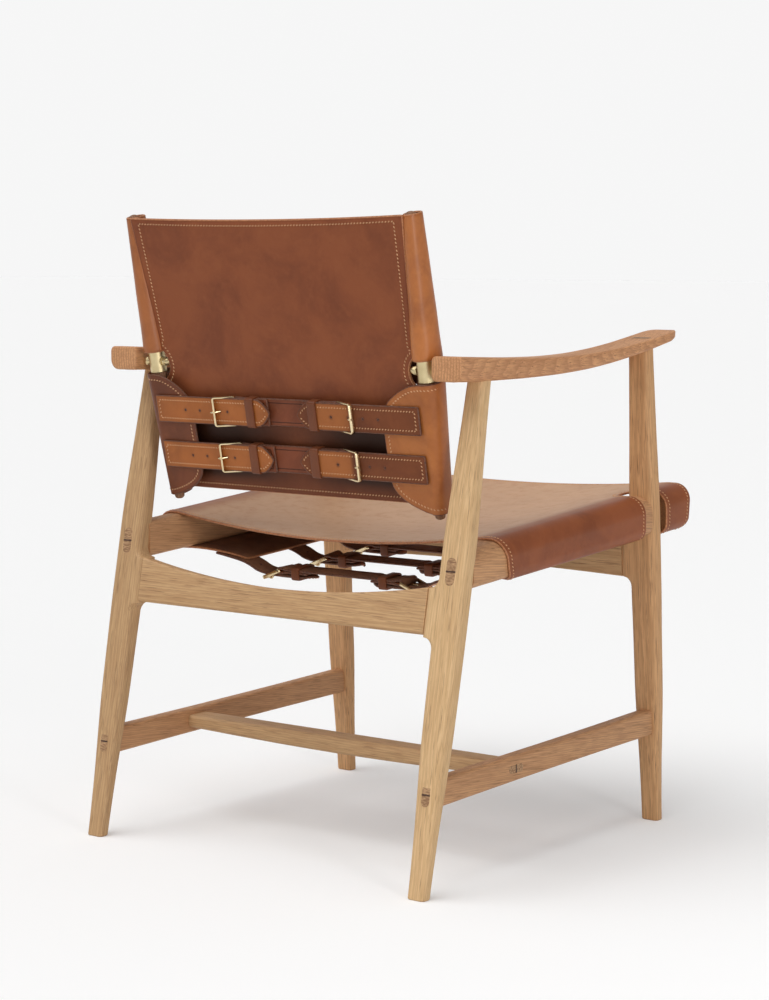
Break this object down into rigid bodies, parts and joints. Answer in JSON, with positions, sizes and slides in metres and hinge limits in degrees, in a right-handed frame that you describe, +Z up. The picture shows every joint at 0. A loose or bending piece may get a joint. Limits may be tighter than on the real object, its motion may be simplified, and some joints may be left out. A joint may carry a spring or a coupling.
{
  "type": "sling lounge chair",
  "caption": "Low wooden armchair with wedged through tenons, a leather seat laced under itself with buckled straps, and a leather back that tilts on brass pivots.",
  "frame": {"origin": "on the floor, under the middle of the whole chair's outline seen from above", "axes": "+Z up, -Y the way the sitter faces, +X towards the sitter's left"},
  "size_m": [0.587, 0.6008, 0.8291],
  "materials": {
    "oak": "oiled, open grain",
    "wedge_wood": "oiled end grain",
    "saddle_leather": "smooth, slightly waxed",
    "strap_leather": "smooth, waxed edges",
    "brass": "satin"
  },
  "bodies": {
    "frame": {"back_leg_left": "oak", "back_leg_right": "oak", "front_leg_left": "oak", "front_leg_right": "oak", "back_rail": "oak", "front_rail": "oak", "seat_side_rail_left": "oak", "seat_side_rail_right": "oak", "side_stretcher_left": "oak", "side_stretcher_right": "oak", "cross_stretcher": "oak", "armrest_left": "oak", "armrest_right": "oak", "seat_rail_wedge_left": "wedge_wood", "seat_rail_wedge_right": "wedge_wood", "stretcher_wedge_left": "wedge_wood", "stretcher_wedge_right": "wedge_wood", "cross_stretcher_wedge_left": "wedge_wood", "cross_stretcher_wedge_right": "wedge_wood", "armrest_wedge_left": "wedge_wood", "armrest_wedge_right": "wedge_wood", "pivot_bolt_left": "brass", "pivot_bolt_right": "brass", "acorn_nut_left": "brass", "acorn_nut_right": "brass", "seat_sling": "saddle_leather", "seat_centre_strap_rear": "strap_leather", "seat_centre_strap_middle": "strap_leather", "seat_centre_strap_front": "strap_leather", "seat_buckle_rear_left": "brass", "seat_buckle_rear_right": "brass", "seat_buckle_middle_left": "brass", "seat_buckle_middle_right": "brass", "seat_buckle_front_left": "brass", "seat_buckle_front_right": "brass"},
    "back": {"back_rod_left": "oak", "back_rod_right": "oak", "brass_tube_left": "brass", "brass_tube_right": "brass", "back_sling": "saddle_leather", "back_centre_strap_upper": "strap_leather", "back_centre_strap_lower": "strap_leather", "back_billet_upper_left": "strap_leather", "back_billet_upper_right": "strap_leather", "back_billet_lower_left": "strap_leather", "back_billet_lower_right": "strap_leather", "back_keeper_upper_left": "strap_leather", "back_keeper_upper_right": "strap_leather", "back_keeper_lower_left": "strap_leather", "back_keeper_lower_right": "strap_leather", "back_buckle_frame_upper_left": "brass", "back_buckle_frame_upper_right": "brass", "back_buckle_frame_lower_left": "brass", "back_buckle_frame_lower_right": "brass", "back_buckle_tongue_upper_left": "brass", "back_buckle_tongue_upper_right": "brass", "back_buckle_tongue_lower_left": "brass", "back_buckle_tongue_lower_right": "brass"}
  },
  "joints": [
    {"name": "back_tilt", "type": "hinge", "parent": "frame", "child": "back", "pos_m": [0, 0.21661, 0.636], "axis": [1, 0, 0], "range_deg": [-20, 11.3]}
  ]
}
